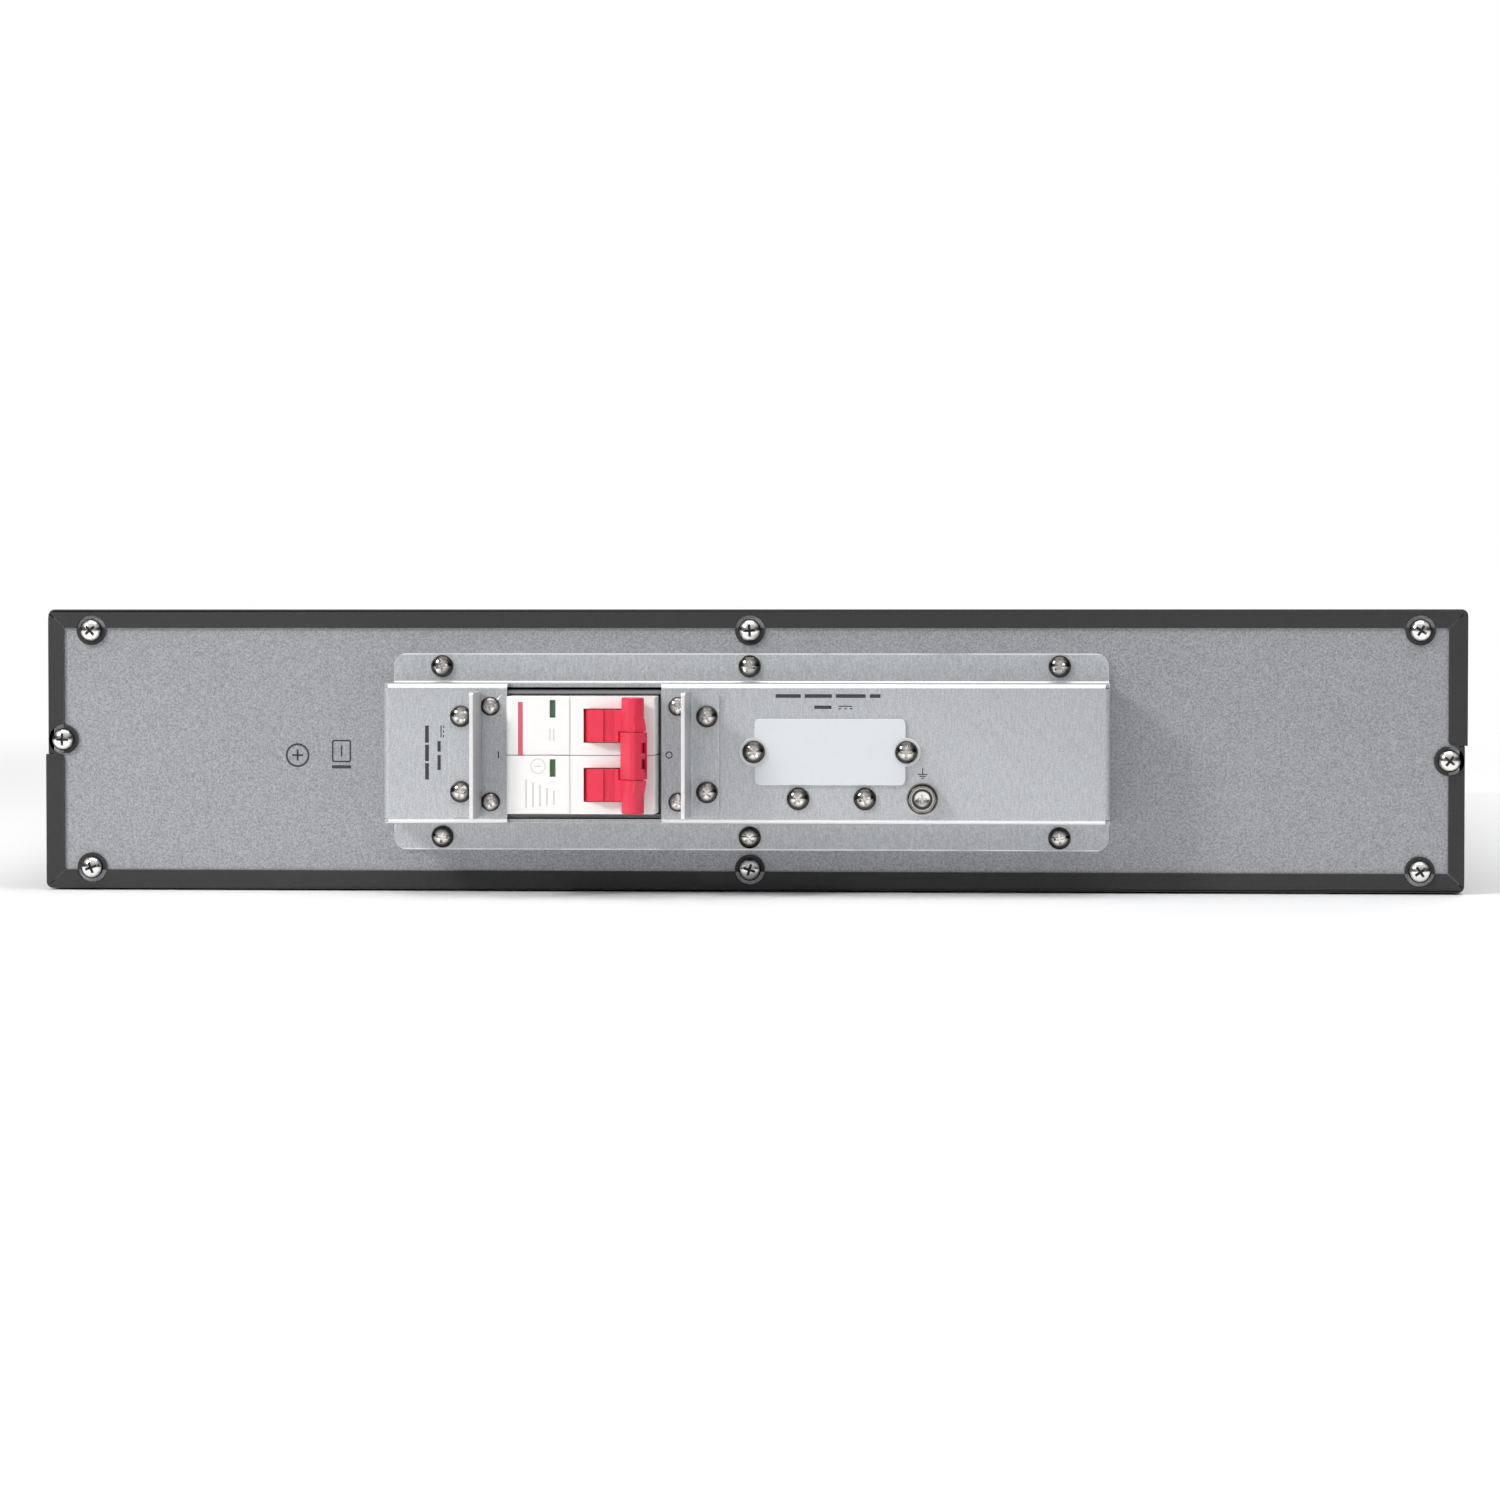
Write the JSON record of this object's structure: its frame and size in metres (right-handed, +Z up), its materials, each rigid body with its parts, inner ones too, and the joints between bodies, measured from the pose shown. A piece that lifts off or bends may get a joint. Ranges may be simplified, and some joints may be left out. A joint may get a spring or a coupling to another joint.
{
  "type": "rack battery cabinet",
  "caption": "Rack battery cabinet: folded black steel case with a raised terminal box on its plain steel connection side, holding a guarded breaker, a blanked connector and an earth screw.",
  "frame": {"origin": "middle of the footprint, on the surface that the case rests on", "axes": "+X across the rack width, -Y towards the connection side with the breaker, +Y towards the bezel, +Z up"},
  "size_m": [0.438, 0.7196, 0.0865],
  "materials": {
    "black_powder_coat": "matte black powder coat, fine texture, on folded steel",
    "panel_steel": "satin zinc-coated sheet with a fine speckled grain",
    "box_steel": "bright satin zinc-coated sheet, fine vertical grain, bright bends",
    "blanking_plate": "smooth pale silver, nearly grainless",
    "nickel": "polished nickel plate",
    "white_plastic": "smooth satin moulding",
    "red_plastic": "smooth satin-gloss moulding",
    "indicator_flag": "green half for off, red half for on",
    "black_plastic": "fine moulded grain",
    "block_case": "plain moulded battery case",
    "red_cable": "smooth cable sheath",
    "black_cable": "smooth cable sheath"
  },
  "bodies": {
    "cabinet": {"battery_connector": "black_plastic", "battery_lead_negative": "black_cable", "battery_lead_positive": "red_cable", "battery_pair_front_1": "block_case", "battery_pair_front_2": "block_case", "battery_pair_front_3": "block_case", "battery_pair_front_4": "block_case", "battery_pair_rear_1": "block_case", "battery_pair_rear_2": "block_case", "battery_pair_rear_3": "block_case", "battery_pair_rear_4": "block_case", "bottom_cover": "black_powder_coat", "box_screw_1": "nickel", "box_screw_2": "nickel", "box_screw_3": "nickel", "box_screw_4": "nickel", "box_screw_5": "nickel", "box_screw_6": "nickel", "breaker_cradle": "box_steel", "breaker_pole_lower": "white_plastic", "breaker_pole_upper": "white_plastic", "case_screw_1": "nickel", "case_screw_2": "nickel", "case_screw_3": "nickel", "case_screw_4": "nickel", "case_screw_5": "nickel", "case_screw_6": "nickel", "case_screw_7": "nickel", "case_screw_8": "nickel", "connector_blanking_plate": "blanking_plate", "connector_lead_negative": "black_cable", "connector_lead_positive": "red_cable", "connector_screw_1": "nickel", "connector_screw_2": "nickel", "cradle_screw_1": "nickel", "cradle_screw_2": "nickel", "cradle_screw_3": "nickel", "cradle_screw_4": "nickel", "din_rail": "box_steel", "earth_screw": "nickel", "earth_washer": "nickel", "front_bezel": "black_plastic", "front_panel": "panel_steel", "guard_left": "box_steel", "guard_right": "box_steel", "guard_screw_1": "nickel", "guard_screw_2": "nickel", "guard_screw_3": "nickel", "guard_screw_4": "nickel", "plate_screw_1": "nickel", "plate_screw_2": "nickel", "rear_panel": "panel_steel", "terminal_box": "box_steel", "toggle_pin": "nickel", "top_cover": "black_powder_coat"},
    "toggle": {"toggle_lower": "red_plastic", "toggle_tie_bar": "red_plastic", "toggle_upper": "red_plastic"},
    "flag_upper": {"indicator_flag_upper": "indicator_flag"},
    "flag_lower": {"indicator_flag_lower": "indicator_flag"}
  },
  "joints": [
    {"name": "toggle_swing", "type": "hinge", "parent": "cabinet", "child": "toggle", "pos_m": [-0.04, -0.3432, 0.0426], "axis": [0, 0, -1], "range_deg": [0, 72]},
    {"name": "flag_upper_slide", "type": "slide", "parent": "cabinet", "child": "flag_upper", "axis": [1, 0, 0], "range_m": [0, 0.0023]},
    {"name": "flag_lower_slide", "type": "slide", "parent": "cabinet", "child": "flag_lower", "axis": [1, 0, 0], "range_m": [0, 0.0023]}
  ],
  "couplings": [
    {"joint": "flag_upper_slide", "follows": "toggle_swing", "m_per_rad": 0.00183},
    {"joint": "flag_lower_slide", "follows": "toggle_swing", "m_per_rad": 0.00183}
  ]
}
